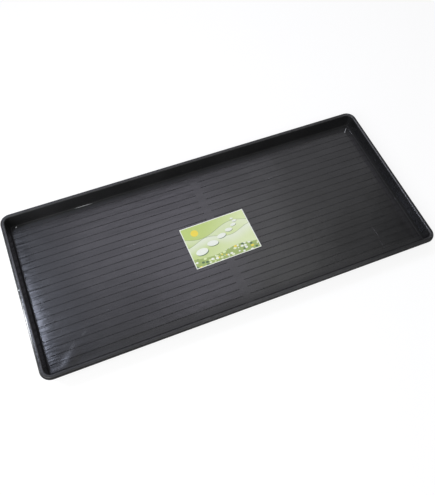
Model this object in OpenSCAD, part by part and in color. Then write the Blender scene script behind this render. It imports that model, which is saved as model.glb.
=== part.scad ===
// Shallow ribbed garden tray, formed from one plastic sheet, with a paper label on its floor.
// Millimetres, Z up. The origin is under the middle of the floor, on the surface the tray stands on.

/* [Tray] */
// Overall length, over the rim
tray_l = 1200; // [500:1:1600]
// Overall width, over the rim
tray_w = 550; // [300:1:800]
// Overall height, from the underside of the floor to the top of the rim
tray_h = 44; // [30:0.5:120]
// Thickness of the formed sheet
sheet_t = 2; // [1:0.1:4]
// Lean of the walls away from upright, in degrees
wall_draft = 10; // [2:0.5:25]
// Radius between floor and wall, on the inside
floor_fillet_r = 3; // [2:0.5:12]
// Plan radius at each corner of the flat floor
floor_corner_r = 9; // [2:0.5:40]

/* [Rim] */
// Flat top of the rim, between its two bends
rim_land_w = 2.5; // [1:0.5:30]
// Radius between wall and rim, on the underside
rim_bend_r = 1.5; // [0.5:0.1:5]
// Radius between rim and lip, on the underside
lip_bend_r = 5; // [0.5:0.5:12]
// Straight skirt of the lip, below its bend
lip_skirt_h = 1.5; // [1:0.5:15]

/* [Floor ribs] */
// Distance from one rib to the next
rib_pitch = 23.8; // [10:0.1:60]
// Place of the middle rib across the tray
rib_shift = -5; // [-12:0.5:12]
// Width of a rib's flat crest
rib_crest_w = 1.6; // [1:0.1:4]
// Width of each sloping flank of a rib, seen from above
rib_flank_w = 0.4; // [0.1:0.1:3]
// Height of a rib above the floor
rib_h = 1; // [0.5:0.1:3]
// Plain strip across the middle, between the two rows of ribs
centre_strip_w = 25; // [10:1:80]
// Plain floor left between a rib's end and the edge of the flat floor
rib_end_gap = 2; // [2:0.5:60]
// Least plain floor left beside the outermost ribs
rib_side_gap = 4; // [1:0.5:60]

/* [Label] */
// Length of the label, along the tray
label_l = 210; // [60:1:400]
// Width of the label, across the tray
label_w = 148; // [40:1:250]
// Thickness of the label
label_t = 0.2; // [0.1:0.05:1]
// Place of the label's middle across the tray
label_y = -15; // [-60:1:60]
// Turn of the label out of line with the tray, in degrees
label_turn = 1; // [-10:0.5:10]

/* [Hidden] */
$fn = 96;

// Straight steps in each bend of the sheet
bend_steps = 8;
// Narrowest hollow that the sheet forms under a rib's crest
hollow_crest_min = 0.3;

// The wall's angle above level, and the radii of the rim's two bends on the upper face
wall_angle = 90 - wall_draft;
rim_crown_r = rim_bend_r + sheet_t;
lip_crown_r = lip_bend_r + sheet_t;

// Centres of the three bends in the profile: floor to wall, wall to rim, rim to lip
wall_rise = tray_h - sheet_t - (floor_fillet_r + rim_crown_r) * (1 - cos(wall_angle));
floor_bend = [floor_corner_r, sheet_t + floor_fillet_r];
rim_bend_x = floor_bend.x + (floor_fillet_r + rim_crown_r) * sin(wall_angle) + wall_rise / tan(wall_angle);
rim_bend = [rim_bend_x, tray_h - rim_crown_r];
lip_bend = [rim_bend.x + rim_land_w, tray_h - lip_crown_r];
lip_foot_z = lip_bend.y - lip_skirt_h;

// Radius of the rim's corners in plan, and the centre that each corner turns about
rim_corner_r = lip_bend.x + lip_crown_r;
corner_x = tray_l / 2 - rim_corner_r;
corner_y = tray_w / 2 - rim_corner_r;

// Half sizes of the flat floor inside the fillet
floor_half_l = corner_x + floor_corner_r;
floor_half_w = corner_y + floor_corner_r;

// Width of a rib at its foot, ribs on each side of the middle one, and where a row of ribs starts and ends
rib_foot_w = rib_crest_w + 2 * rib_flank_w;
rib_reach = floor_half_w - rib_side_gap - rib_foot_w / 2 - abs(rib_shift);
ribs_each_side = floor(rib_reach / rib_pitch);
rib_row_start = centre_strip_w / 2;
rib_row_end = floor_half_l - rib_end_gap;

// How far the hollow under a rib stands in from the rib's own outline, for an even sheet
flank_angle = atan(rib_h / rib_flank_w);
hollow_inset = min(sheet_t * tan(flank_angle / 2), (rib_crest_w - hollow_crest_min) / 2);

// Points along an arc, from one angle to another
function arc(centre, radius, from, to) = [
    for (step = [0:bend_steps])
        let (angle = from + (to - from) * step / bend_steps)
            centre + radius * [cos(angle), sin(angle)]
];

// One face of the sheet, from the middle of a corner out over the rim to the lip's foot.
// The depth is 0 on the upper face and one sheet thickness on the underside.
function sheet_face(depth) = concat(
    [[0, sheet_t - depth]],
    arc(floor_bend, floor_fillet_r + depth, -90, wall_angle - 90),
    arc(rim_bend, rim_crown_r - depth, 90 + wall_angle, 90),
    arc(lip_bend, lip_crown_r - depth, 90, 0),
    [[lip_bend.x + lip_crown_r - depth, lip_foot_z]]
);

// The reversed list
function back(points) = [for (i = [len(points) - 1:-1:0]) points[i]];

// Cross-section of the sheet: floor, fillet, leaning wall, rim and turned-down lip
module sheet_profile() {
    polygon(concat(sheet_face(0), back(sheet_face(sheet_t))));
}

// A quarter of the formed sheet: flat floor, round corner, half of one end and half of one long side
module quarter_shell() {
    cube([corner_x, corner_y, sheet_t]);
    translate([corner_x, corner_y, 0]) {
        rotate_extrude(angle = 90)
            sheet_profile();
        rotate([90, 0, 0])
            linear_extrude(corner_y)
                sheet_profile();
    }
    translate([0, corner_y, 0])
        rotate([90, 0, 90])
            linear_extrude(corner_x)
                sheet_profile();
}

// The formed sheet before its ribs
module sheet_shell() {
    for (turn_x = [0, 1], turn_y = [0, 1])
        mirror([turn_x, 0, 0])
            mirror([0, turn_y, 0])
                quarter_shell();
}

// Outline of a bar with sloping flanks, which reaches down past its foot into what it is joined to
module bar_outline(from, to, foot_z, crest_z, root) {
    polygon([
        [from, foot_z - root],
        [to, foot_z - root],
        [to, foot_z],
        [to - rib_flank_w, crest_z],
        [from + rib_flank_w, crest_z],
        [from, foot_z]
    ]);
}

// All the ribs as solid bars, drawn in by an inset on every flank and end
module rib_bars(inset, foot_z, root) {
    crest_z = foot_z + rib_h;
    intersection() {
        rotate([90, 0, 90])
            linear_extrude(tray_l, center = true)
                for (rib = [-ribs_each_side:ribs_each_side])
                    translate([rib_shift + rib * rib_pitch, 0])
                        bar_outline(inset - rib_foot_w / 2, rib_foot_w / 2 - inset, foot_z, crest_z, root);
        rotate([90, 0, 0])
            linear_extrude(tray_w, center = true)
                for (side = [0, 1])
                    mirror([side, 0])
                        bar_outline(rib_row_start + inset, rib_row_end - inset, foot_z, crest_z, root);
    }
}

// The tray: the formed sheet with ribs pressed up out of its floor, hollow on the underside
module tray() {
    color([0.15, 0.15, 0.16])
        difference() {
            union() {
                sheet_shell();
                rib_bars(0, sheet_t, sheet_t / 2);
            }
            rib_bars(hollow_inset, 0, sheet_t);
        }
}

// The label: a flat sheet of paper lying on the ribs' crests
module label() {
    color([0.78, 0.86, 0.55])
        translate([0, label_y, sheet_t + rib_h])
            rotate([0, 0, label_turn])
                translate([-label_l / 2, -label_w / 2, 0])
                    cube([label_l, label_w, label_t]);
}

tray();
label();
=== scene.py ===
"""Looks of a ribbed garden tray: one formed black sheet, with a printed paper label on its floor.

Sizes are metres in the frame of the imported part: +X along the tray, +Y away from the viewer, +Z up.
"""

import logging
import math
from collections.abc import Callable
from dataclasses import dataclass, replace
from enum import Enum

import bmesh
import bpy
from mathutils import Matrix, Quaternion, Vector


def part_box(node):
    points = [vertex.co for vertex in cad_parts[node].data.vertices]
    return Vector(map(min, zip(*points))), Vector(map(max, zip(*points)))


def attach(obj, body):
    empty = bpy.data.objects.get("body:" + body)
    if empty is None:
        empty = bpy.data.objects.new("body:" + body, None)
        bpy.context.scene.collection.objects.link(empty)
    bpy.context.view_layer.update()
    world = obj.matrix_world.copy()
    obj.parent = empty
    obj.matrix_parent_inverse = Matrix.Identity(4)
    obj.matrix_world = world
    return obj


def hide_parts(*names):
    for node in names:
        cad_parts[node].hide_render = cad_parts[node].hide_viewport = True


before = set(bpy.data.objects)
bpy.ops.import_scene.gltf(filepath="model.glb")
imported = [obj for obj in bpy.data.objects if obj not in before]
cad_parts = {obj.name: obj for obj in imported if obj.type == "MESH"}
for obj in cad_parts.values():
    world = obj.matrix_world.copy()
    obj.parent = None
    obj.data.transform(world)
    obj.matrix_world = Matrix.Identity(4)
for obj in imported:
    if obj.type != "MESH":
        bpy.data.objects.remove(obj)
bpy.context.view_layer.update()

BODY = "root"
MM = 0.001
SMOOTH_ANGLE = math.radians(35)
LOG = logging.getLogger("garden_tray")

Flat = tuple[float, float]
Point = tuple[float, float, float]
Colour = tuple[float, float, float]
Socket = bpy.types.NodeSocket
Input = Socket | float
Paint = Socket | Colour
Edge = bmesh.types.BMEdge
Face = bmesh.types.BMFace


class Element(Enum):
    """What a selection picks from the mesh in edit mode."""

    POINT = "VERT"
    EDGE = "EDGE"
    FACE = "FACE"


class Across(Enum):
    """The direction that a cut goes square across."""

    LENGTH = (1.0, 0.0, 0.0)
    WIDTH = (0.0, 1.0, 0.0)


class Sum(Enum):
    """A sum that a shading node works out."""

    ADD = "ADD"
    SUBTRACT = "SUBTRACT"
    MULTIPLY = "MULTIPLY"
    LEAST = "MINIMUM"
    MOST = "MAXIMUM"
    SIZE = "ABSOLUTE"
    SINE = "SINE"
    COSINE = "COSINE"


def pick(kind: Element, wanted: Callable[..., bool]) -> None:
    """Select, in edit mode, the elements that pass a test, and nothing else.

    Args:
        kind: Points, edges or faces.
        wanted: The test of one element.
    """
    bpy.ops.mesh.select_mode(type=kind.value)
    bpy.ops.mesh.select_all(action="DESELECT")
    mesh = bmesh.from_edit_mesh(bpy.context.edit_object.data)
    groups = {Element.POINT: mesh.verts, Element.EDGE: mesh.edges, Element.FACE: mesh.faces}
    for element in [element for element in groups[kind] if wanted(element)]:
        element.select_set(True)
    mesh.select_flush_mode()
    bmesh.update_edit_mesh(bpy.context.edit_object.data)


def cut(across: Across, places: list[float], wanted: Callable[[Face], bool]) -> None:
    """Cut some faces of the mesh, in edit mode, along flat planes.

    Args:
        across: The direction that the planes stand square to.
        places: Where each plane stands along that direction.
        wanted: The test of a face that is cut.
    """
    for place in places:
        pick(Element.FACE, wanted)
        point = Vector(across.value) * place
        bpy.ops.mesh.bisect(plane_co=point, plane_no=across.value)


def finish_with(piece: bpy.types.Object, kind: str, **settings: object) -> None:
    """Add a modifier to a piece and apply it.

    Args:
        piece: The piece, in object mode.
        kind: The modifier's type.
        settings: Values of the modifier's own properties.
    """
    modifier = piece.modifiers.new(kind.lower(), kind)
    for name, value in settings.items():
        setattr(modifier, name, value)
    bpy.context.view_layer.objects.active = piece
    bpy.ops.object.modifier_apply(modifier=modifier.name)


class Shading:
    """One node material while it is being made."""

    def __init__(self, name: str) -> None:
        """Start an empty material.

        Args:
            name: The material's name.
        """
        self.material = bpy.data.materials.new(name)
        self.material.use_nodes = True
        self.tree = self.material.node_tree
        self.tree.nodes.clear()

    def node(self, kind: str, **inputs: object) -> bpy.types.Node:
        """Add a node and fill its inputs.

        Args:
            kind: The node's type, without its common prefix.
            inputs: Values or sockets by input name, with underscores for spaces.

        Returns:
            The new node.
        """
        made = self.tree.nodes.new("ShaderNode" + kind)
        for name, value in inputs.items():
            self.feed(made.inputs[name.replace("_", " ")], value)
        return made

    def feed(self, socket: Socket, value: object) -> None:
        """Give a socket a value, or link another socket to it.

        Args:
            socket: The input to fill.
            value: A number, a vector, a colour or an output socket.
        """
        if isinstance(value, Socket):
            self.tree.links.new(value, socket)
        elif socket.type == "RGBA" and len(value) == 3:
            socket.default_value = (*value, 1.0)
        else:
            socket.default_value = value

    def sum(self, kind: Sum, first: Input, second: Input = 0.0) -> Socket:
        """Work out a sum.

        Args:
            kind: The sum.
            first: The first number, or the only one that the sum takes.
            second: The second number.

        Returns:
            The result.
        """
        made = self.node("Math")
        made.operation = kind.value
        self.feed(made.inputs[0], first)
        self.feed(made.inputs[1], second)
        return made.outputs[0]

    def plus(self, first: Input, second: Input) -> Socket:
        """One number and another."""
        return self.sum(Sum.ADD, first, second)

    def minus(self, first: Input, second: Input) -> Socket:
        """One number less another."""
        return self.sum(Sum.SUBTRACT, first, second)

    def times(self, first: Input, second: Input) -> Socket:
        """One number times another."""
        return self.sum(Sum.MULTIPLY, first, second)

    def least(self, first: Input, second: Input) -> Socket:
        """The smaller of two numbers."""
        return self.sum(Sum.LEAST, first, second)

    def most(self, first: Input, second: Input) -> Socket:
        """The larger of two numbers."""
        return self.sum(Sum.MOST, first, second)

    def size(self, number: Input) -> Socket:
        """A number without its sign."""
        return self.sum(Sum.SIZE, number)

    def ramp(self, value: Input, start: float, end: float, low: float = 0.0, high: float = 1.0) -> Socket:
        """Turn a value into a smooth step.

        Args:
            value: The value that moves the step.
            start: The value at which the step begins.
            end: The value at which it ends, on either side of its start.
            low: The result up to the start.
            high: The result from the end on.

        Returns:
            The result.
        """
        made = self.node("MapRange", Value=value, From_Min=start, From_Max=end, To_Min=low, To_Max=high)
        made.interpolation_type = "SMOOTHSTEP"
        return made.outputs["Result"]

    def blend(self, share: Input, under: Paint, over: Paint) -> Socket:
        """One colour laid over another by a share."""
        return self.node("MixRGB", Fac=share, Color1=under, Color2=over).outputs["Color"]

    def parts(self, place: Socket) -> tuple[Socket, ...]:
        """The three coordinates of a place."""
        return tuple(self.node("SeparateXYZ", Vector=place).outputs)

    def scaled(self, place: Socket, scale: Point) -> Socket:
        """Coordinates that are scaled along each axis."""
        return self.node("Mapping", Vector=place, Scale=scale).outputs["Vector"]

    def noise(self, place: Socket, count: float, detail: float) -> Socket:
        """A soft noise between 0 and 1, with this many features to a metre."""
        return self.node("TexNoise", Vector=place, Scale=count, Detail=detail).outputs["Fac"]

    def streaks(self, place: Socket, counts: Point, detail: float) -> Socket:
        """A soft noise with its own count of features to a metre along each axis."""
        return self.noise(self.scaled(place, counts), 1.0, detail)

    def finish(self, shader: Socket) -> bpy.types.Material:
        """Join the shader to the output and give the material back."""
        self.node("OutputMaterial", Surface=shader)
        return self.material


@dataclass(frozen=True)
class Oval:
    """An oval patch on a surface, seen from above.

    Its length runs along its own angle, in degrees, and its depth is how strongly it shows at most.
    """

    middle: Flat
    length: float
    width: float
    angle: float = 0.0
    depth: float = 1.0

    def share(self, shade: Shading, place: Socket, core: float) -> Socket:
        """How strongly the patch shows at a place.

        Args:
            shade: The material that is being made.
            place: The coordinates that the patch lies in.
            core: The part of the patch's size within which it shows fully.

        Returns:
            A share from 0 to the patch's depth.
        """
        own = shade.node(
            "Mapping",
            Vector=place,
            Location=(*self.middle, 0.0),
            Rotation=(0.0, 0.0, math.radians(self.angle)),
            Scale=(self.length / 2, self.width / 2, 1.0),
        )
        own.vector_type = "TEXTURE"
        off = shade.node("VectorMath")
        off.operation = "LENGTH"
        shade.feed(off.inputs[0], own.outputs["Vector"])
        return shade.ramp(off.outputs["Value"], 1.0, core, 0.0, self.depth)

    def moved(self, across: float, up: float) -> "Oval":
        """The same patch at another place."""
        return replace(self, middle=(self.middle[0] + across, self.middle[1] + up))


@dataclass(frozen=True)
class Hill:
    """A printed hill: its crest's drop below the first one's, its swing, its waves, and how pale it is."""

    drop: float
    swing: float
    waves: float
    paleness: float


RUB_AND_SHEEN_CORE = 0.2
# Rub marks, with painted light among them: a sheen in the near left corner and a highlight where the
# fillets meet in the far right corner.
RUB_AND_SHEEN_MARKS = (
    Oval((-0.542, -0.230), 46 * MM, 9 * MM, 40, 0.8),
    Oval((-0.551, -0.220), 34 * MM, 5 * MM, 66, 0.8),
    # Painted sheen in the near left corner.
    Oval((-0.564, -0.240), 60 * MM, 34 * MM, 30, 0.9),
    Oval((-0.506, -0.191), 46 * MM, 13 * MM, 50, 0.6),
    Oval((-0.464, -0.162), 34 * MM, 8 * MM, 30, 0.4),
    # Painted highlight where the fillets meet in the far right corner, with the next mark.
    Oval((0.561, 0.231), 34 * MM, 4 * MM, 42),
    Oval((0.577, 0.228), 30 * MM, 4 * MM, 95),
    Oval((0.578, -0.080), 16 * MM, 4 * MM, 90),
    Oval((-0.386, -0.119), 34 * MM, 3 * MM, 3),
    Oval((0.456, -0.168), 44 * MM, 4 * MM, 93),
    Oval((0.453, -0.214), 42 * MM, 3 * MM, 91),
    Oval((0.230, 0.140), 60 * MM, 3 * MM, 4),
    Oval((-0.250, 0.060), 70 * MM, 4 * MM, -3),
)

CREASE_CORE = 0.0
CREASES = (
    Oval((-0.518, -0.222), 112 * MM, 52 * MM, 44, 0.8),
    Oval((-0.530, -0.243), 96 * MM, 60 * MM, 42, 0.8),
)

# Painted glints: pale spots and lines that stand for highlights on the left rim, in the far corners and
# along the far wall's foot.
GLINT_CORE = 0.5
PAINTED_GLINTS = (
    Oval((-0.5955, 0.009), 5 * MM, 4 * MM, 80),
    Oval((-0.5620, 0.2500), 8 * MM, 5 * MM, 60),
    Oval((-0.352, 0.253), 68 * MM, 1.6 * MM, 0.5),
    Oval((0.5635, 0.2335), 34 * MM, 1.7 * MM, 49),
    Oval((0.577, 0.218), 24 * MM, 0.6 * MM, 93),
)

PRINT_CORE = 0.94
DISC = Oval((-0.066, 0.046), 24 * MM, 24 * MM)
HILLS = (
    Hill(0 * MM, 14 * MM, 30.0, 0.4),
    Hill(24 * MM, 9 * MM, 44.0, 0.6),
)
PATH_STONES = (
    Oval((-0.068, -0.023), 40 * MM, 23 * MM, 6),
    Oval((-0.027, -0.007), 36 * MM, 19 * MM, -6),
    Oval((0.008, 0.008), 30 * MM, 16 * MM, 9),
    Oval((0.036, 0.020), 24 * MM, 13 * MM, -4),
    Oval((0.056, 0.032), 19 * MM, 10 * MM, 8),
    Oval((0.065, 0.044), 15 * MM, 8 * MM, 0),
    Oval((0.060, 0.054), 11 * MM, 6 * MM, -8),
)


class SheetSpot:
    """A place on the tray's sheet, in sockets of the material that is being made."""

    def __init__(self, shade: Shading, tray: "FormedTray") -> None:
        """Read the place, and how far it lies beyond the foot of the nearest wall.

        Args:
            shade: The material that is being made.
            tray: The tray that the sheet is formed into.
        """
        self.shade = shade
        self.tray = tray
        self.place = shade.node("TexCoord").outputs["Object"]
        self.x, self.y, self.z = shade.parts(self.place)
        self.off_x, self.off_y = shade.size(self.x), shade.size(self.y)
        self.beyond = shade.most(shade.minus(self.off_x, tray.foot_x), shade.minus(self.off_y, tray.foot_y))


@dataclass(frozen=True)
class BlackPlastic:
    """Satin black sheet: streaked along the ribs, with dull bends, rim wear, dust, rub marks and painted
    highlights.

    A pair gives where a change starts and where it is complete. Bands lie in from the foot of a wall, in
    from the outer edge or below the top of the rim. Ends, left and right are places along the tray.
    """

    deep: Colour = (0.010, 0.010, 0.0105)
    hazy: Colour = (0.015, 0.015, 0.0158)
    # Pale grey of rim wear and dust, and of the painted highlight on the near rim.
    wear_dust_and_sheen: Colour = (0.036, 0.036, 0.037)
    # Pale of the rub marks, and of the painted sheen, corner highlights and rim highlight.
    pale_rub_and_highlight: Colour = (0.085, 0.086, 0.094)
    # Near-white of the painted glints.
    glint_white: Colour = (0.55, 0.56, 0.57)
    refraction: float = 1.5
    gloss: float = 0.5
    wiped: Flat = (0.20, 0.26)
    matt_sides: float = 0.42
    matt_ends: float = 0.21
    matt_full: float = 10.0 * MM
    dull: float = 0.65
    dull_bend: float = 0.39
    bend_band: Flat = (3.6 * MM, 2.2 * MM)
    bend_rise: Flat = (0.4, 0.15)
    corner_band: Flat = (12.0 * MM, 4.0 * MM)
    wall_band: Flat = (4.0 * MM, 8.0 * MM)
    rim_band: Flat = (6.0 * MM, 2.0 * MM)
    near_band: Flat = (20.0 * MM, 8.0 * MM)
    # Wear share of the rims; on the near rim it varies along its length as a painted highlight, pale at the
    # middle and less at the ends.
    held: float = 0.62
    near_sheen_least: float = 0.1
    near_sheen_place: float = 50.0 * MM
    near_sheen_reach: Flat = (0.45, 0.15)
    # Where the painted highlight along the right rim's inner edge lies.
    rim_highlight_place: float = 0.4
    rim_highlight_width: Flat = (1.2 * MM, 0.7 * MM)
    rim_highlight_end: Flat = (0.55, 0.58)
    dust: float = 0.31
    dust_band: Flat = (32.0 * MM, 8.0 * MM)
    dust_edge: float = 3.0 * MM
    floor_height: Flat = (6.0 * MM, 4.0 * MM)
    row_blur: float = 0.5 * MM
    rib_dust: float = 0.36
    rib_dust_least: float = 0.02
    rib_dust_most: float = 0.5
    rib_dust_width: Flat = (1.5 * MM, 0.7 * MM)
    rib_dust_left: Flat = (-0.55, -0.2)
    rib_dust_right: Flat = (0.5, -0.15)
    rib_dust_end: Flat = (-0.51, -0.545)
    stroke: float = 0.5
    stroke_end: Flat = (-0.53, -0.562)
    streak_end: Flat = (-0.50, -0.56)
    streak_gain: Flat = (1.0, 2.2)

    def material(self, tray: "FormedTray") -> bpy.types.Material:
        """Make the sheet's material.

        Args:
            tray: The tray that the sheet is formed into.

        Returns:
            The finished material.
        """
        shade = Shading("black_plastic")
        spot = SheetSpot(shade, tray)
        bend = self._bend(spot)
        shader = shade.node(
            "BsdfPrincipled",
            Base_Color=self._colour(spot),
            Roughness=self._roughness(spot, bend),
            IOR=self.refraction,
            Specular_IOR_Level=self._shine(spot, bend),
            Normal=self._relief(spot),
        )
        return shade.finish(shader.outputs["BSDF"])

    def _colour(self, spot: SheetSpot) -> Socket:
        """Lay haze, wear, dust, rub marks and painted highlights, glints and sheen over the sheet's black.

        Args:
            spot: The place on the sheet.

        Returns:
            The colour.
        """
        shade = spot.shade
        clouds = shade.ramp(shade.noise(spot.place, 9.0, 4.0), 0.35, 0.7)
        colour = shade.blend(clouds, self.deep, self.hazy)
        # Rim wear, with a painted highlight along the near rim.
        colour = shade.blend(self._wear_and_near_sheen(spot), colour, self.wear_dust_and_sheen)
        colour = shade.blend(self._dust(spot), colour, self.wear_dust_and_sheen)
        # Rub marks, with a painted sheen and painted corner highlights.
        colour = shade.blend(self._rubs_and_sheen(spot), colour, self.pale_rub_and_highlight)
        # Painted highlight along the right rim's inner edge.
        colour = shade.blend(self._painted_rim_highlight(spot), colour, self.pale_rub_and_highlight)
        # Painted glints.
        for glint in PAINTED_GLINTS:
            colour = shade.blend(glint.share(shade, spot.place, GLINT_CORE), colour, self.glint_white)
        return colour

    def _wear_and_near_sheen(self, spot: SheetSpot) -> Socket:
        """Where the rim is pale with handling wear, and on the near side a painted highlight: most at the
        middle of that side, least at its ends.

        Args:
            spot: The place on the sheet.

        Returns:
            A share from 0 to 1.
        """
        shade, tray = spot.shade, spot.tray
        start, full = self.rim_band
        rim = shade.ramp(spot.z, tray.top - start, tray.top - full)
        inner, outer = [inset - tray.half.y for inset in self.near_band]
        # Painted highlight along the near rim: paler at its middle, less so towards its ends.
        off = shade.size(shade.minus(spot.x, self.near_sheen_place))
        along = shade.ramp(off, *self.near_sheen_reach, self.near_sheen_least, 1.0)
        near = shade.times(along, shade.ramp(spot.y, inner, outer))
        held = shade.plus(near, shade.ramp(spot.y, outer, inner, 0.0, self.held))
        patches = shade.ramp(shade.noise(spot.place, 70.0, 4.0), 0.3, 0.65, 0.35, 1.0)
        return shade.times(rim, shade.times(held, patches))

    def _dust(self, spot: SheetSpot) -> Socket:
        """Where dust lies along the edge of the floor.

        Args:
            spot: The place on the sheet.

        Returns:
            A share from 0 to the dust's depth.
        """
        start, full = self.dust_band
        gathered = spot.shade.ramp(spot.beyond, -start, -full, 0.0, self.dust)
        return spot.shade.times(gathered, spot.shade.ramp(spot.beyond, 0.0, -self.dust_edge))

    def _rubs_and_sheen(self, spot: SheetSpot) -> Socket:
        """Where rubs leave the sheet pale, and where a painted sheen and painted corner highlights lie,
        broken up by its grain.

        Args:
            spot: The place on the sheet.

        Returns:
            A share from 0 to 1.
        """
        shade = spot.shade
        marks = 0.0
        for mark in RUB_AND_SHEEN_MARKS:
            marks = shade.most(marks, mark.share(shade, spot.place, RUB_AND_SHEEN_CORE))
        flecks = shade.noise(shade.scaled(spot.place, (1.0, 1.6, 1.0)), 260.0, 3.0)
        return shade.times(marks, shade.ramp(flecks, 0.38, 0.62))

    def _painted_rim_highlight(self, spot: SheetSpot) -> Socket:
        """A painted highlight along the inner edge of the rim, at the right end.

        Args:
            spot: The place on the sheet.

        Returns:
            A share from 0 to 1.
        """
        shade, tray = spot.shade, spot.tray
        edge = tray.wall_run + tray.crown_run * self.rim_highlight_place
        line = shade.ramp(shade.size(shade.minus(spot.beyond, edge)), *self.rim_highlight_width)
        broken = shade.ramp(shade.noise(spot.place, 110.0, 3.0), 0.3, 0.6, 0.4, 1.0)
        return shade.times(shade.times(line, shade.ramp(spot.x, *self.rim_highlight_end)), broken)

    def _bend(self, spot: SheetSpot) -> Socket:
        """The bend between floor and wall, where the drawn sheet is dull.

        Args:
            spot: The place on the sheet.

        Returns:
            A share from 0 to 1.
        """
        start, full = self.bend_band
        high, low = [share * spot.tray.top for share in self.bend_rise]
        foot = spot.shade.ramp(spot.beyond, -start, -full)
        return spot.shade.times(foot, spot.shade.ramp(spot.z, high, low))

    def _roughness(self, spot: SheetSpot, bend: Socket) -> Socket:
        """How rough the sheet is: more so in the bend, and towards the walls, where it is drawn most.

        Args:
            spot: The place on the sheet.
            bend: The share of the bend.

        Returns:
            The roughness.
        """
        shade, tray = spot.shade, spot.tray
        start, full = tray.sag_reach, self.matt_full
        sides = shade.ramp(spot.off_y, tray.foot_y - start, tray.foot_y - full, 0.0, self.matt_sides)
        ends = shade.ramp(spot.off_x, tray.foot_x - start, tray.foot_x - full, 0.0, self.matt_ends)
        wiped = shade.streaks(spot.place, (4.0, 45.0, 45.0), 3.0)
        rough = shade.most(shade.ramp(wiped, 0.3, 0.7, *self.wiped), shade.most(sides, ends))
        return shade.most(rough, shade.times(bend, self.dull))

    def _shine(self, spot: SheetSpot, bend: Socket) -> Socket:
        """How shiny the sheet is: less so in the bend, in the corners and where dust lies.

        Args:
            spot: The place on the sheet.
            bend: The share of the bend.

        Returns:
            The level of shine.
        """
        shade, row_start = spot.shade, spot.tray.row_start
        rows = shade.ramp(spot.off_x, row_start - self.row_blur, row_start + self.row_blur)
        floor = shade.times(rows, shade.ramp(spot.z, *self.floor_height))
        dim = shade.most(self._rib_dust(spot, floor), self._strokes(spot, floor))
        dim = shade.most(dim, shade.times(bend, self.dull_bend))
        dim = shade.most(dim, self._corners(spot))
        return shade.minus(self.gloss, shade.times(dim, self.gloss))

    def _rib_dust(self, spot: SheetSpot, floor: Socket) -> Socket:
        """Where dust lies in patches along the ribs: most at the left end, and none at the right.

        Args:
            spot: The place on the sheet.
            floor: The share of the ribbed floor.

        Returns:
            A share from 0 to about 0.6.
        """
        shade, turns = spot.shade, math.tau / spot.tray.rib_pitch
        wave = shade.sum(Sum.COSINE, shade.times(shade.minus(spot.y, spot.tray.rib_shift), turns))
        line = shade.ramp(wave, *[math.cos(turns * off) for off in self.rib_dust_width])
        left = shade.ramp(spot.x, *self.rib_dust_left, self.rib_dust_least, self.rib_dust)
        right = shade.ramp(spot.x, *self.rib_dust_right, 0.0, self.rib_dust)
        end = shade.ramp(spot.x, *self.rib_dust_end, 0.0, self.rib_dust_most)
        depth = shade.plus(shade.least(left, right), end)
        patches = shade.ramp(shade.streaks(spot.place, (20.0, 40.0, 1.0), 3.0), 0.35, 0.62, 0.1, 1.15)
        return shade.times(shade.times(shade.times(line, depth), floor), patches)

    def _strokes(self, spot: SheetSpot, floor: Socket) -> Socket:
        """Dull strokes along the ribs at the left end.

        Args:
            spot: The place on the sheet.
            floor: The share of the ribbed floor.

        Returns:
            A share from 0 to the strokes' depth.
        """
        shade = spot.shade
        strokes = shade.streaks(spot.place, (16.0, 130.0, 1.0), 3.0)
        strokes = shade.ramp(strokes, 0.38, 0.64, 0.0, self.stroke)
        return shade.times(shade.times(strokes, shade.ramp(spot.x, *self.stroke_end)), floor)

    def _corners(self, spot: SheetSpot) -> Socket:
        """The tray's corners below the rim, where the drawn sheet is dull.

        Args:
            spot: The place on the sheet.

        Returns:
            A share from 0 to the dullness.
        """
        shade, tray = spot.shade, spot.tray
        start, full = self.corner_band
        along = shade.ramp(spot.off_x, tray.foot_x - start, tray.foot_x - full, 0.0, self.dull)
        across = shade.ramp(spot.off_y, tray.foot_y - start, tray.foot_y - full, 0.0, self.dull)
        high, low = [tray.top - drop for drop in self.wall_band]
        return shade.times(shade.least(along, across), shade.ramp(spot.z, high, low))

    def _relief(self, spot: SheetSpot) -> Socket:
        """The sheet's relief: a crease at one corner, slight buckles, streaks, dimples and grain.

        Args:
            spot: The place on the sheet.

        Returns:
            The normal.
        """
        shade, place = spot.shade, spot.place
        creased = 0.0
        for crease in CREASES:
            creased = shade.plus(creased, crease.share(shade, place, CREASE_CORE))
        streaks = shade.streaks(place, (9.0, 95.0, 20.0), 2.0)
        streaks = shade.times(streaks, shade.ramp(spot.x, *self.streak_end, *self.streak_gain))
        buckles = shade.streaks(place, (24.0, 44.0, 20.0), 1.0)
        dimples = shade.noise(place, 75.0, 2.0)
        grain = shade.noise(place, 1400.0, 2.0)
        normal = shade.node("NewGeometry").outputs["Normal"]
        for height, strength, depth in (
            (creased, 1.0, 1.0 * MM),
            (buckles, 1.0, 0.3 * MM),
            (streaks, 1.0, 0.13 * MM),
            (dimples, 1.0, 0.1 * MM),
            (grain, 0.12, 0.05 * MM),
        ):
            bump = shade.node("Bump", Height=height, Strength=strength, Distance=depth, Normal=normal)
            normal = bump.outputs["Normal"]
        return normal


class LabelSpot:
    """A place on the label, from its middle, in sockets of the material that is being made."""

    def __init__(self, shade: Shading, label: "PaperLabel") -> None:
        """Read the place along the label's own directions.

        Args:
            shade: The material that is being made.
            label: The label that the print lies on.
        """
        self.shade = shade
        self.label = label
        place = shade.node("TexCoord").outputs["Object"]
        turned = shade.node("Mapping", Vector=place, Location=label.middle, Rotation=(0.0, 0.0, label.turn))
        turned.vector_type = "TEXTURE"
        self.place = turned.outputs["Vector"]
        self.x, self.y, _ = shade.parts(self.place)


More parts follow.
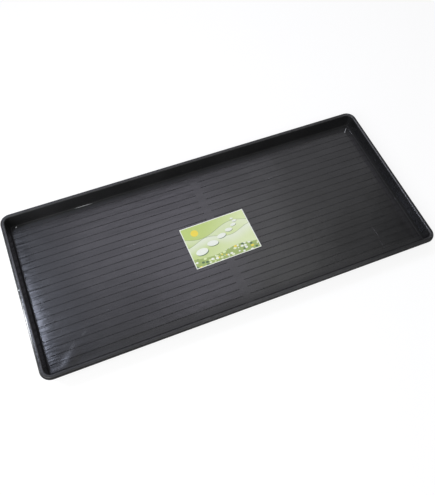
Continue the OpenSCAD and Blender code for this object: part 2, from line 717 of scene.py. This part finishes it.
@dataclass(frozen=True)
class PrintedPaper:
    """Coated white paper: a lime field in a white border, with hills, a path, pebbles and a disc."""

    white: Colour = (0.85, 0.88, 0.78)
    lime: Colour = (0.50, 0.62, 0.19)
    pale: Colour = (0.72, 0.81, 0.44)
    green: Colour = (0.10, 0.17, 0.08)
    yellow: Colour = (0.86, 0.68, 0.08)
    roughness: Flat = (0.42, 0.52)
    refraction: float = 1.45
    fibre: float = 0.05 * MM
    border: float = 2.4 * MM
    border_blur: float = 0.3 * MM
    slant: float = 0.6
    crest: float = 34.0 * MM
    crest_blur: float = 0.5 * MM
    crest_fade: Flat = (40.0 * MM, 2.0 * MM)
    crest_lead: float = 3.0
    outline: float = 0.5
    outline_upper: Flat = (1.4 * MM, 0.8 * MM)
    outline_lower: Flat = (-0.8 * MM, -0.2 * MM)
    stone_shade: Flat = (0.03, 0.13)
    bed: float = -44.0 * MM
    bed_blur: float = 0.4 * MM
    bed_swing: float = 5.0 * MM
    bed_waves: float = 38.0
    pebbles: float = 82.0
    pebble_squash: float = 1.35
    pebble_disorder: float = 0.7
    pebble_edge: Flat = (0.46, 0.40)
    pale_lot: Flat = (0.42, 0.44)
    green_lot: Flat = (0.66, 0.68)
    yellow_lot: Flat = (0.86, 0.88)
    ground: float = 0.35

    def material(self, label: "PaperLabel") -> bpy.types.Material:
        """Make the label's material.

        Args:
            label: The label that the print lies on.

        Returns:
            The finished material.
        """
        shade = Shading("printed_paper")
        spot = LabelSpot(shade, label)
        colour = self._field(spot)
        colour = shade.blend(DISC.share(shade, spot.place, PRINT_CORE), colour, self.yellow)
        colour = self._hills(spot, colour)
        colour = self._path(spot, colour)
        colour = self._pebbles(spot, colour)
        colour = self._frame(spot, colour)
        rough = shade.ramp(shade.noise(spot.place, 60.0, 2.0), 0.3, 0.7, *self.roughness)
        fibres = shade.noise(spot.place, 900.0, 3.0)
        relief = shade.node("Bump", Height=fibres, Strength=0.15, Distance=self.fibre)
        shader = shade.node(
            "BsdfPrincipled",
            Base_Color=colour,
            Roughness=rough,
            IOR=self.refraction,
            Normal=relief.outputs["Normal"],
        )
        return shade.finish(shader.outputs["BSDF"])

    def _field(self, spot: LabelSpot) -> Socket:
        """The lime field, paler towards its right and lower edges.

        Args:
            spot: The place on the label.

        Returns:
            The colour.
        """
        shade, reach = spot.shade, spot.label.length / 2
        slanted = shade.minus(spot.x, shade.times(spot.y, self.slant))
        return shade.blend(shade.ramp(slanted, -reach, reach), self.lime, self.pale)

    def _hills(self, spot: LabelSpot, under: Socket) -> Socket:
        """Print hills with dark outlines and pale crests that fade downwards.

        Args:
            spot: The place on the label.
            under: The colour below the hills.

        Returns:
            The colour with the hills.
        """
        shade = spot.shade
        start, full = self.crest_fade
        for hill in HILLS:
            wave = shade.times(shade.plus(spot.x, hill.drop * self.crest_lead), hill.waves)
            swing = shade.times(shade.sum(Sum.SINE, wave), hill.swing)
            above = shade.minus(spot.y, shade.plus(swing, self.crest - hill.drop))
            fading = shade.ramp(above, -start, -full, 0.1, 1.0)
            inside = shade.times(shade.ramp(above, self.crest_blur, -self.crest_blur), fading)
            under = shade.blend(shade.times(inside, hill.paleness), under, self.white)
            upper = shade.ramp(above, *self.outline_upper)
            lower = shade.ramp(above, *self.outline_lower)
            under = shade.blend(shade.times(shade.times(upper, lower), self.outline), under, self.green)
        return under

    def _path(self, spot: LabelSpot, under: Socket) -> Socket:
        """Print white stepping stones, each over its own dark green shade.

        Args:
            spot: The place on the label.
            under: The colour below the stones.

        Returns:
            The colour with the stones.
        """
        shade = spot.shade
        across, down = self.stone_shade
        for stone in PATH_STONES:
            lower = stone.moved(stone.length * across, -stone.width * down)
            under = shade.blend(lower.share(shade, spot.place, PRINT_CORE), under, self.green)
            under = shade.blend(stone.share(shade, spot.place, PRINT_CORE), under, self.white)
        return under

    def _pebbles(self, spot: LabelSpot, under: Socket) -> Socket:
        """Print a bed of round pebbles along the lower edge, some dark, some pale and a few yellow.

        Args:
            spot: The place on the label.
            under: The colour below the pebbles.

        Returns:
            The colour with the pebbles.
        """
        shade = spot.shade
        flat = shade.scaled(spot.place, (1.0, self.pebble_squash, 0.0))
        cells = shade.node("TexVoronoi", Vector=flat, Scale=self.pebbles, Randomness=self.pebble_disorder)
        stones = shade.ramp(cells.outputs["Distance"], *self.pebble_edge)
        lot = shade.node("SeparateColor", Color=cells.outputs["Color"]).outputs["Red"]
        tone = shade.blend(shade.ramp(lot, *self.pale_lot), self.white, self.pale)
        tone = shade.blend(shade.ramp(lot, *self.green_lot), tone, self.green)
        tone = shade.blend(shade.ramp(lot, *self.yellow_lot), tone, self.yellow)
        ground = shade.blend(self.ground, self.lime, self.green)
        wave = shade.sum(Sum.SINE, shade.times(spot.x, self.bed_waves))
        above = shade.minus(spot.y, shade.plus(shade.times(wave, self.bed_swing), self.bed))
        inside = shade.ramp(above, self.bed_blur, -self.bed_blur)
        return shade.blend(inside, under, shade.blend(stones, ground, tone))

    def _frame(self, spot: LabelSpot, under: Socket) -> Socket:
        """Leave a white border around the print.

        Args:
            spot: The place on the label.
            under: The colour of the print.

        Returns:
            The colour with the border.
        """
        shade, label = spot.shade, spot.label
        in_x, in_y = label.length / 2 - self.border, label.width / 2 - self.border
        share_x = shade.ramp(shade.size(spot.x), in_x, in_x - self.border_blur)
        share_y = shade.ramp(shade.size(spot.y), in_y, in_y - self.border_blur)
        return shade.blend(shade.times(share_x, share_y), self.white, under)


@dataclass(frozen=True)
class PaleFloor:
    """Studio floor that reads white and keeps a soft shadow."""

    colour: Colour = (0.22, 0.22, 0.22)
    glow: float = 0.82
    mirrored: float = 0.38

    def material(self) -> bpy.types.Material:
        """Make the floor's material.

        Returns:
            The finished material.
        """
        shade = Shading("pale_floor")
        rays = shade.node("LightPath").outputs
        seen = shade.most(rays["Is Camera Ray"], shade.times(rays["Is Glossy Ray"], self.mirrored))
        seen = shade.most(seen, rays["Is Transmission Ray"])
        lit = shade.node("BsdfDiffuse", Color=self.colour)
        glow = shade.node("Emission", Strength=shade.times(seen, self.glow))
        both = shade.node("AddShader")
        shade.feed(both.inputs[0], lit.outputs["BSDF"])
        shade.feed(both.inputs[1], glow.outputs["Emission"])
        return shade.finish(both.outputs["Shader"])


@dataclass
class FormedTray:
    """The tray: ribbed floor, leaning walls and a rim with a turned-down lip, all of one sheet.

    The floor sags a little towards the walls. Its faces are cut into panels along the tray, and into steps
    near the walls, so that the sag is smooth.
    """

    low: Vector
    high: Vector
    sheet: float = 2.0 * MM
    wall_draft: float = math.radians(10)
    floor_fillet: float = 3.0 * MM
    floor_corner: float = 9.0 * MM
    rim_land: float = 2.5 * MM
    rim_crown: float = 3.5 * MM
    lip_crown: float = 7.0 * MM
    lip_skirt: float = 1.5 * MM
    corner_steps: int = 16
    bend_steps: int = 8
    rib_pitch: float = 23.8 * MM
    rib_shift: float = -5.0 * MM
    rib_crest: float = 1.6 * MM
    rib_flank: float = 0.4 * MM
    rib_height: float = 1.0 * MM
    ribs_each_side: int = 10
    row_start: float = 12.5 * MM
    row_end_gap: float = 2.0 * MM
    panel: float = 25.0 * MM
    sag: float = 1.6 * MM
    sag_reach: float = 46.0 * MM
    sag_curve: float = 1.9
    sag_steps: int = 11
    rib_steps: int = 5
    edge_round: float = 0.15 * MM
    edge_angle: float = math.radians(30)
    merged: float = 0.2 * MM
    slack: float = 0.1 * MM
    steep: float = 0.6

    def __post_init__(self) -> None:
        """Work out where the sharp corners of the profile stand, before its bends are rounded."""
        self.half = (self.high - self.low) / 2
        self.top = self.high.z
        lean = math.pi / 2 - self.wall_draft
        self.fillet_run = self.floor_fillet * math.tan(lean / 2)
        self.crown_run = self.rim_crown * math.tan(lean / 2)
        self.rim_width = self.lip_crown + self.rim_land + self.crown_run
        self.wall_run = (self.top - self.sheet) * math.tan(self.wall_draft)
        self.margin = self.rim_width + self.wall_run + self.fillet_run + self.row_end_gap / 2
        self.corner = self.floor_corner + self.fillet_run + self.wall_run + self.rim_width
        self.foot_inset = self.rim_width + self.wall_run
        self.foot_x = self.half.x - self.foot_inset
        self.foot_y = self.half.y - self.foot_inset
        self.row_end = self.foot_x - self.fillet_run - self.row_end_gap
        self.rib_foot = self.rib_crest + 2 * self.rib_flank

    def build(self) -> bpy.types.Object:
        """Model the tray.

        Returns:
            The finished piece, without its material.
        """
        bpy.ops.object.select_all(action="DESELECT")
        bpy.ops.mesh.primitive_plane_add(size=1.0)
        piece = bpy.context.active_object
        piece.name = "formed_tray"
        bpy.ops.object.mode_set(mode="EDIT")
        self._draw_down()
        self._cut_lines()
        self._sag_edges()
        self._round_bends()
        bpy.ops.object.mode_set(mode="OBJECT")
        self._thicken(piece)
        self._press_ribs()
        self._soften(piece)
        return piece

    def _draw_down(self) -> None:
        """Shape the plane into rim, walls, floor and lip, with sharp bends."""
        bpy.ops.transform.resize(value=(2 * self.half.x, 2 * self.half.y, 1.0))
        bpy.ops.transform.translate(value=(0.0, 0.0, self.top))
        bpy.ops.mesh.bevel(
            affect="VERTICES", offset_type="ABSOLUTE", offset=self.corner, segments=self.corner_steps
        )
        bpy.ops.mesh.select_all(action="SELECT")
        bpy.ops.mesh.inset(thickness=self.rim_width)
        bpy.ops.mesh.inset(thickness=self.wall_run, depth=self.sheet - self.top)
        bpy.ops.mesh.inset(thickness=self.fillet_run + self.row_end_gap / 2)
        pick(Element.EDGE, lambda edge: edge.is_boundary)
        drop = (0.0, 0.0, -self.lip_crown - self.lip_skirt)
        bpy.ops.mesh.extrude_edges_move(TRANSFORM_OT_translate={"value": drop})

    def _cut_lines(self) -> None:
        """Cut the feet and crests of the ribs into the floor, and steps for its sag along the walls."""
        cut(Across.WIDTH, self._lines_along(), self._is_field)
        straight, ends = self._lines_across()
        cut(Across.LENGTH, [side * place for side in (-1, 1) for place in straight], lambda face: True)
        cut(Across.LENGTH, [side * place for side in (-1, 1) for place in ends], self._is_field)
        bpy.ops.mesh.select_all(action="SELECT")
        bpy.ops.mesh.remove_doubles(threshold=self.merged)

    def _lines_along(self) -> list[float]:
        """Lines along the tray: the edges of each rib's foot and crest, and steps between ribs near a wall.

        Returns:
            Where the lines lie across the tray.
        """
        sides = [side * edge / 2 for side in (-1, 1) for edge in (self.rib_foot, self.rib_crest)]
        ribs = range(-self.ribs_each_side, self.ribs_each_side + 1)
        rows = [self.rib_shift + rib * self.rib_pitch for rib in ribs]
        parts = range(1, self.rib_steps)
        between = [row + self.rib_pitch * part / self.rib_steps for row in rows for part in parts]
        lines = [row + side for row in rows for side in sides]
        return lines + [place for place in between if abs(place) > self.foot_y - self.sag_reach]

    def _lines_across(self) -> tuple[list[float], list[float]]:
        """Lines across the tray: panels of the floor, the ends of the ribs and steps towards the end walls.

        Returns:
            How far from the tray's middle the lines lie: those that go on over the long walls and the rim,
            and those that stay on the floor.
        """
        counts = range(2, self.sag_steps + 1)
        steps = [self.foot_x - self.sag_reach * count / self.sag_steps for count in counts]
        panels = range(1, int(self.row_end / self.panel) - 1)
        steps += [self.row_start + self.panel * panel for panel in panels]
        straight = [place for place in steps if place < self.half.x - self.corner - self.rib_flank]
        first = [self.row_start, self.row_start + self.rib_flank]
        last = [self.row_end - self.rib_flank, self.row_end]
        return straight, first + last + [place for place in steps if place not in straight]

    def _is_field(self, face: Face) -> bool:
        """Whether a face lies in the part of the floor that takes the ribs."""
        return self._inset(face.calc_center_median()) > self.margin

    def _inset(self, point: Vector) -> float:
        """How far a point lies inside the rim's outline, seen from above.

        Args:
            point: The point.

        Returns:
            The shortest way to the outline.
        """
        beyond_x = abs(point.x) - (self.half.x - self.corner)
        beyond_y = abs(point.y) - (self.half.y - self.corner)
        if beyond_x > 0 and beyond_y > 0:
            return self.corner - math.hypot(beyond_x, beyond_y)
        return self.corner - max(beyond_x, beyond_y)

    def _sag_edges(self) -> None:
        """Let the floor sag a little towards the walls, where the drawn sheet is thinner."""
        mesh = bmesh.from_edit_mesh(bpy.context.edit_object.data)
        rings: dict[float, set[int]] = {}
        for point in mesh.verts:
            if abs(point.co.z - self.sheet) < self.slack:
                rings.setdefault(round(self._inset(point.co), 4), set()).add(point.index)
        for inset, ring in sorted(rings.items()):
            near = 1 - (inset - self.foot_inset) / self.sag_reach
            if near > 0:
                pick(Element.POINT, lambda point: point.index in ring)
                bpy.ops.transform.translate(value=(0.0, 0.0, -self.sag * near**self.sag_curve))

    def _round_bends(self) -> None:
        """Round the three bends of the profile: floor to wall, wall to rim, and rim to lip."""
        for test, run in (
            (self._floor_bend, self.fillet_run),
            (self._wall_bend, self.crown_run),
            (self._lip_bend, self.lip_crown),
        ):
            pick(Element.EDGE, test)
            bpy.ops.mesh.bevel(affect="EDGES", offset_type="OFFSET", offset=run, segments=self.bend_steps)

    def _floor_bend(self, edge: Edge) -> bool:
        """Whether an edge lies between floor and wall."""
        return self._is_bend(edge) and edge.verts[0].co.z < self.top / 2

    def _wall_bend(self, edge: Edge) -> bool:
        """Whether an edge lies between wall and rim."""
        high = edge.verts[0].co.z > self.top / 2
        return self._is_bend(edge) and high and self._inset(edge.verts[0].co) > self.rim_width / 2

    def _lip_bend(self, edge: Edge) -> bool:
        """Whether an edge lies between rim and lip."""
        high = edge.verts[0].co.z > self.top / 2
        return self._is_bend(edge) and high and self._inset(edge.verts[0].co) < self.rim_width / 2

    def _is_bend(self, edge: Edge) -> bool:
        """Whether an edge has a steep face on one side only."""
        steep = [abs(face.normal.z) < self.steep for face in edge.link_faces]
        return len(steep) == 2 and steep[0] != steep[1]

    def _thicken(self, piece: bpy.types.Object) -> None:
        """Give the sheet its thickness, with a flat underside.

        Args:
            piece: The formed upper face.
        """
        finish_with(piece, "SOLIDIFY", thickness=self.sheet, offset=-1.0, use_even_offset=True)
        bpy.ops.object.mode_set(mode="EDIT")
        pick(Element.POINT, lambda point: point.co.z < 0.0)
        bpy.ops.transform.resize(value=(1.0, 1.0, 0.0), center_override=(0.0, 0.0, 0.0))
        bpy.ops.object.mode_set(mode="OBJECT")

    def _press_ribs(self) -> None:
        """Raise the crests of the ribs out of the floor, with hollows under them."""
        bpy.ops.object.mode_set(mode="EDIT")
        pick(Element.FACE, self._on_crest)
        bpy.ops.transform.translate(value=(0.0, 0.0, self.rib_height))
        bpy.ops.object.mode_set(mode="OBJECT")

    def _on_crest(self, face: Face) -> bool:
        """Whether a face is part of a rib's crest, above or below.

        Args:
            face: The face.

        Returns:
            True on a crest.
        """
        middle = face.calc_center_median()
        across = middle.y - self.rib_shift
        rib = round(across / self.rib_pitch)
        beside = abs(across - rib * self.rib_pitch)
        along = self.row_start + self.rib_flank < abs(middle.x) < self.row_end - self.rib_flank
        in_row = beside < self.rib_crest / 2 and abs(rib) <= self.ribs_each_side
        return self._is_field(face) and along and in_row

    def _soften(self, piece: bpy.types.Object) -> None:
        """Soften the sheet's edges.

        Args:
            piece: The sheet with its ribs.
        """
        finish_with(
            piece,
            "BEVEL",
            width=self.edge_round,
            segments=2,
            limit_method="ANGLE",
            angle_limit=self.edge_angle,
        )
        bpy.ops.object.shade_smooth_by_angle(angle=SMOOTH_ANGLE)
        finish_with(piece, "WEIGHTED_NORMAL", keep_sharp=True)


@dataclass
class PaperLabel:
    """The label: one sheet of printed paper that lies on the ribs, with one end lifted a little."""

    low: Vector
    high: Vector
    length: float = 210.0 * MM
    width: float = 148.0 * MM
    turn: float = math.radians(1.0)
    corner: float = 1.6 * MM
    corner_steps: int = 5
    columns: int = 42
    rows: int = 30
    lift: float = 1.0 * MM
    lift_reach: float = 45.0 * MM
    slack: float = 0.001 * MM

    def __post_init__(self) -> None:
        """Work out the middle of the label."""
        self.middle = (self.low + self.high) / 2

    def build(self) -> bpy.types.Object:
        """Model the label.

        Returns:
            The finished piece, without its material.
        """
        bpy.ops.object.select_all(action="DESELECT")
        bpy.ops.mesh.primitive_grid_add(x_subdivisions=self.columns, y_subdivisions=self.rows, size=1.0)
        piece = bpy.context.active_object
        piece.name = "paper_label"
        bpy.ops.object.mode_set(mode="EDIT")
        bpy.ops.transform.resize(value=(self.length, self.width, 1.0))
        pick(Element.POINT, lambda point: len(point.link_edges) == 2)
        bpy.ops.mesh.bevel(
            affect="VERTICES", offset_type="ABSOLUTE", offset=self.corner, segments=self.corner_steps
        )
        self._lift_end()
        bpy.ops.mesh.select_all(action="SELECT")
        bpy.ops.transform.rotate(value=-self.turn, orient_axis="Z", center_override=(0.0, 0.0, 0.0))
        bpy.ops.transform.translate(value=(self.middle.x, self.middle.y, self.low.z))
        bpy.ops.object.mode_set(mode="OBJECT")
        finish_with(piece, "SOLIDIFY", thickness=self.high.z - self.low.z, offset=1.0)
        bpy.ops.object.shade_smooth_by_angle(angle=SMOOTH_ANGLE)
        return piece

    def _lift_end(self) -> None:
        """Let one end of the paper rise a little off the ribs."""
        mesh = bmesh.from_edit_mesh(bpy.context.edit_object.data)
        start = self.length / 2 - self.lift_reach
        places = sorted({round(point.co.x, 6) for point in mesh.verts if point.co.x > start})
        for place in places:
            pick(Element.POINT, lambda point: abs(point.co.x - place) < self.slack)
            rise = self.lift * ((place - start) / self.lift_reach) ** 2
            bpy.ops.transform.translate(value=(0.0, 0.0, rise))


PLAIN = (1.0, 1.0, 1.0)
VIOLET = (0.89, 0.86, 1.0)
COOL = (0.95, 0.94, 1.0)
BLUE = (0.82, 0.84, 1.0)
DAYLIGHT = (0.92, 0.96, 1.0)


@dataclass(frozen=True)
class Softbox:
    """One rectangular soft light. The glow is the brightness of its face, where 1 is white."""

    name: str
    place: Point
    aim: Point
    size: Flat
    glow: float
    tint: Colour = PLAIN

    def hang(self) -> None:
        """Hang the light at its place, facing its aim."""
        light = bpy.data.lights.new(self.name, "AREA")
        light.shape = "RECTANGLE"
        light.size, light.size_y = self.size
        light.energy = self.glow * math.pi * self.size[0] * self.size[1]
        light.color = self.tint
        holder = bpy.data.objects.new(self.name, light)
        bpy.context.scene.collection.objects.link(holder)
        holder.location = self.place
        holder.rotation_mode = "QUATERNION"
        holder.rotation_quaternion = (Vector(self.aim) - Vector(self.place)).to_track_quat("-Z", "Y")


@dataclass(frozen=True)
class BackRow:
    """One row of the light at the back: its place across the tray, its depth and its glow."""

    y: float
    depth: float
    glow: float


@dataclass(frozen=True)
class BackColumn:
    """One column of the light at the back: its place along the tray, width, share of the glow and tint."""

    name: str
    x: float
    width: float
    share: float
    tint: Colour


CEILING = 1.85
BACK_ROWS = (
    BackRow(1.575, 0.15, 1.6),
    BackRow(1.70, 0.10, 1.1),
    BackRow(1.80, 0.10, 0.6),
    BackRow(1.90, 0.10, 0.3),
    BackRow(2.025, 0.15, 0.12),
)
BACK_COLUMNS = (
    BackColumn("left", -0.63, 0.26, 0.75, BLUE),
    BackColumn("middle", 0.25, 1.50, 1.0, VIOLET),
    BackColumn("right", 1.50, 1.00, 0.7, COOL),
)


def overhead(name: str, middle: Flat, size: Flat, glow: float, tint: Colour = PLAIN) -> Softbox:
    """A soft light under the ceiling that faces straight down."""
    return Softbox(name, (*middle, CEILING), (*middle, 0.0), size, glow, tint)


def back_light() -> list[Softbox]:
    """Make the light at the back, in rows that get dimmer away from the tray.

    Returns:
        The soft lights, column by column.
    """
    lights: list[Softbox] = []
    for column in BACK_COLUMNS:
        for number, row in enumerate(BACK_ROWS):
            name = f"back_{column.name}_{number}"
            middle, size = (column.x, row.y), (column.width, row.depth)
            lights.append(overhead(name, middle, size, row.glow * column.share, column.tint))
    return lights


SOFTBOXES = (
    overhead("middle", (0.25, 1.03), (0.5, 0.94), 2.75, VIOLET),
    overhead("inner_left", (-0.25, 1.25), (0.5, 0.5), 2.5, (0.885, 0.865, 1.0)),
    overhead("near_left", (-0.25, 0.78), (0.5, 0.44), 1.3, (0.88, 0.87, 1.0)),
    overhead("inner_right", (0.75, 1.25), (0.5, 0.5), 1.85, COOL),
    overhead("near_right", (0.75, 0.75), (0.5, 0.5), 1.65),
    overhead("left", (-0.63, 1.35), (0.26, 0.3), 1.15, BLUE),
    overhead("left_near", (-0.63, 0.845), (0.26, 0.71), 0.9, BLUE),
    overhead("far_left", (-0.88, 1.25), (0.24, 1.0), 1.95, (0.80, 0.84, 1.0)),
    overhead("right", (1.5, 1.3), (1.0, 0.4), 0.88, COOL),
    overhead("right_near", (1.25, 0.9), (0.5, 0.4), 0.7),
    overhead("right_end", (1.75, 1.0), (0.5, 0.2), 0.5),
    overhead("near", (0.475, 0.29), (1.95, 0.4), 0.95),
    overhead("corner", (-1.12, 1.39), (0.22, 0.60), 2.0, (0.78, 0.83, 1.0)),
    overhead("window", (-1.12, 0.93), (0.22, 0.25), 60.0, (0.74, 0.80, 1.0)),
    Softbox("key", (-1.6, -0.9, 1.5), (0.0, 0.0, 0.0), (1.0, 1.0), 7.5),
    Softbox("front", (0.5, -1.5, 1.85), (0.5, 0.0, 0.0), (2.2, 1.2), 2.0),
    Softbox("rim_low", (-0.9, 0.06, 0.09), (0.0, 0.06, 0.09), (0.1, 0.18), 34.0, DAYLIGHT),
    Softbox("rim_high", (-0.9, 0.115, 0.26), (0.0, 0.115, 0.26), (0.1, 0.16), 28.0, DAYLIGHT),
    *back_light(),
)


@dataclass
class Studio:
    """The plain studio: floor, soft lights and the camera at the photograph's place."""

    eye: Point = (-0.3847, -0.9167, 1.5800)
    aim: Point = (0.0228, -0.0568, 0.0)
    roll: float = math.radians(3.310)
    lens: float = 44.41
    shift: float = -0.0299
    fill: float = 0.1
    fill_tint: Colour = (0.96, 0.98, 1.0)
    floor_size: float = 16.0
    floor_gap: float = 0.2 * MM

    def build(self) -> None:
        """Set up the floor, the lights and the camera."""
        self._floor()
        for light in SOFTBOXES:
            light.hang()
        self._fill()
        self._camera()
        bpy.context.scene.view_settings.view_transform = "Standard"

    def _floor(self) -> None:
        """Lay the pale floor just under the tray."""
        bpy.ops.object.select_all(action="DESELECT")
        bpy.ops.mesh.primitive_plane_add(size=self.floor_size, location=(0.0, 0.0, -self.floor_gap))
        floor = bpy.context.active_object
        floor.name = "stage_floor"
        floor.data.materials.append(PaleFloor().material())

    def _fill(self) -> None:
        """Light the scene a little from all round, and show white where the camera sees past the floor."""
        world = bpy.data.worlds.new("studio_fill")
        world.use_nodes = True
        background = world.node_tree.nodes["Background"]
        background.inputs["Color"].default_value = (*self.fill_tint, 1.0)
        rays = world.node_tree.nodes.new("ShaderNodeLightPath")
        seen = world.node_tree.nodes.new("ShaderNodeMapRange")
        seen.inputs["To Min"].default_value = self.fill
        world.node_tree.links.new(rays.outputs["Is Camera Ray"], seen.inputs["Value"])
        world.node_tree.links.new(seen.outputs["Result"], background.inputs["Strength"])
        bpy.context.scene.world = world

    def _camera(self) -> None:
        """Place the camera where the photograph was taken."""
        data = bpy.data.cameras.new("camera")
        data.lens = self.lens
        data.shift_x = self.shift
        holder = bpy.data.objects.new("camera", data)
        bpy.context.scene.collection.objects.link(holder)
        holder.location = self.eye
        level = (Vector(self.aim) - Vector(self.eye)).to_track_quat("-Z", "Y")
        holder.rotation_mode = "QUATERNION"
        holder.rotation_quaternion = level @ Quaternion((0.0, 0.0, 1.0), self.roll)
        bpy.context.scene.camera = holder


def place_piece(piece: bpy.types.Object, material: bpy.types.Material, node: str) -> None:
    """Dress a finished piece, let it stand for its node and report it.

    Args:
        piece: The finished piece.
        material: Its material.
        node: The node that it stands for.
    """
    piece.data.materials.append(material)
    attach(piece, BODY)
    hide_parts(node)
    LOG.info("%s: %d faces", piece.name, len(piece.data.polygons))


def main() -> None:
    """Build the tray, its label and the studio."""
    logging.basicConfig(level=logging.INFO, format="%(name)s: %(message)s")
    tray = FormedTray(*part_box("tray"))
    place_piece(tray.build(), BlackPlastic().material(tray), "tray")
    label = PaperLabel(*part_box("label"))
    place_piece(label.build(), PrintedPaper().material(label), "label")
    Studio().build()


if __name__ == "__main__":
    main()
